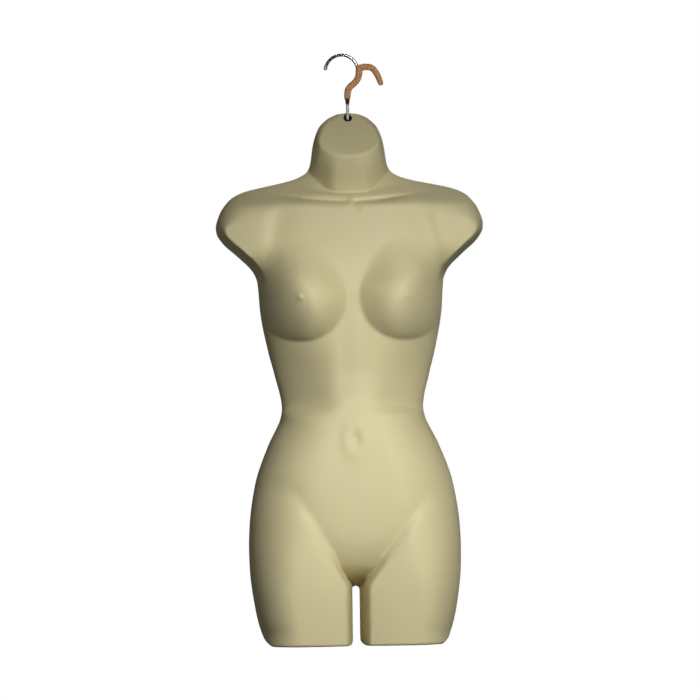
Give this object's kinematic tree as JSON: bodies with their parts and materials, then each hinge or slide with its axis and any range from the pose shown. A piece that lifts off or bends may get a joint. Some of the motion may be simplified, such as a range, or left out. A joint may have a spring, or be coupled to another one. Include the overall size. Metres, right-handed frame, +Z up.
{
  "type": "hanging torso display form",
  "caption": "Hollow-back headless hanging torso form on a swivelling wire hook with a sleeved side hook, for displaying clothes.",
  "frame": {"origin": "rail seat: the highest point of the inside of the main hook, where it hangs from a rail", "axes": "+Z up along the form, +Y out of its flat open back, +X to the right seen from the front; the chest faces -Y"},
  "size_m": [0.4278, 0.16, 0.9449],
  "materials": {
    "moulded_skin": "khaki, fine matte texture",
    "moulded_block": "khaki, plain moulding",
    "dark_metal": "blackened",
    "chrome_wire": "bright plated",
    "core_wire": "drawn",
    "sleeve_vinyl": "soft satin vinyl, flesh brown",
    "tip_vinyl": "pale, smooth",
    "plain_steel": "zinc plated",
    "nylon": "plain nylon"
  },
  "bodies": {
    "hook": {"hook_wire": "chrome_wire", "side_hook_core": "core_wire", "side_hook_sleeve": "sleeve_vinyl", "wire_tip_cap": "tip_vinyl", "stem_ferrule": "dark_metal", "thrust_washer": "plain_steel", "retaining_nut": "plain_steel", "nut_insert": "nylon"},
    "torso": {"torso_shell": "moulded_skin", "neck_anchor_block": "moulded_block", "neck_eyelet": "dark_metal"}
  },
  "joints": [
    {"name": "hook_swivel", "type": "hinge", "parent": "hook", "child": "torso", "pos_m": [0.0086, 0, -0.1339], "axis": [0, 0, 1], "continuous": true}
  ]
}
